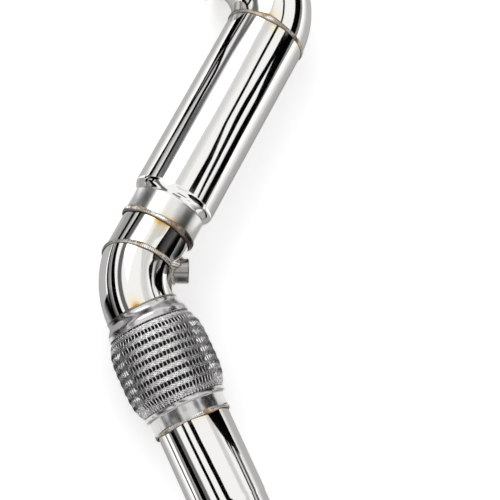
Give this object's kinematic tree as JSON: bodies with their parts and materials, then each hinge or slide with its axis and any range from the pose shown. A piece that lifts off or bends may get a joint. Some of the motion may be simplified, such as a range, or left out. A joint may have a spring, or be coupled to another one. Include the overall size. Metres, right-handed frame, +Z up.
{
  "type": "turbo downpipe",
  "caption": "Bent stainless exhaust downpipe with inlet flange, catalyst canister, mitred elbow with a sensor boss, braided flex joint and plain outlet pipe.",
  "frame": {"origin": "on the floor under the middle of the part's box, as it lies at rest", "axes": "+Z up from the floor, +Y along the longest extent towards the inlet end, the outlet end at -Y"},
  "size_m": [0.2428, 0.7202, 0.1094],
  "materials": {
    "polished_tube": "mirror polished",
    "turned_flange": "turned",
    "weld_bead": "rippled, heat tinted",
    "machined_boss": "machined",
    "spun_collar": "satin",
    "knitted_wire": "bright drawn wire",
    "flex_inside": "dull sheet",
    "catalyst_foil": "matt coated foil"
  },
  "bodies": {
    "root": {"inlet_flange": "turned_flange", "inlet_flange_weld": "weld_bead", "inlet_elbow": "polished_tube", "inlet_elbow_weld": "weld_bead", "canister_shell": "polished_tube", "catalyst_mantle": "catalyst_foil", "catalyst_core": "catalyst_foil", "neck_weld": "weld_bead", "bend_stub": "polished_tube", "bend_elbow": "polished_tube", "mitre_weld": "weld_bead", "sensor_bung": "machined_boss", "sensor_bung_weld": "weld_bead", "flex_upper_weld": "weld_bead", "flex_upper_collar": "spun_collar", "flex_lower_collar": "spun_collar", "flex_braid": "knitted_wire", "flex_bellows": "flex_inside", "flex_liner": "flex_inside", "flex_lower_weld": "weld_bead", "outlet_pipe": "polished_tube"}
  },
  "joints": []
}
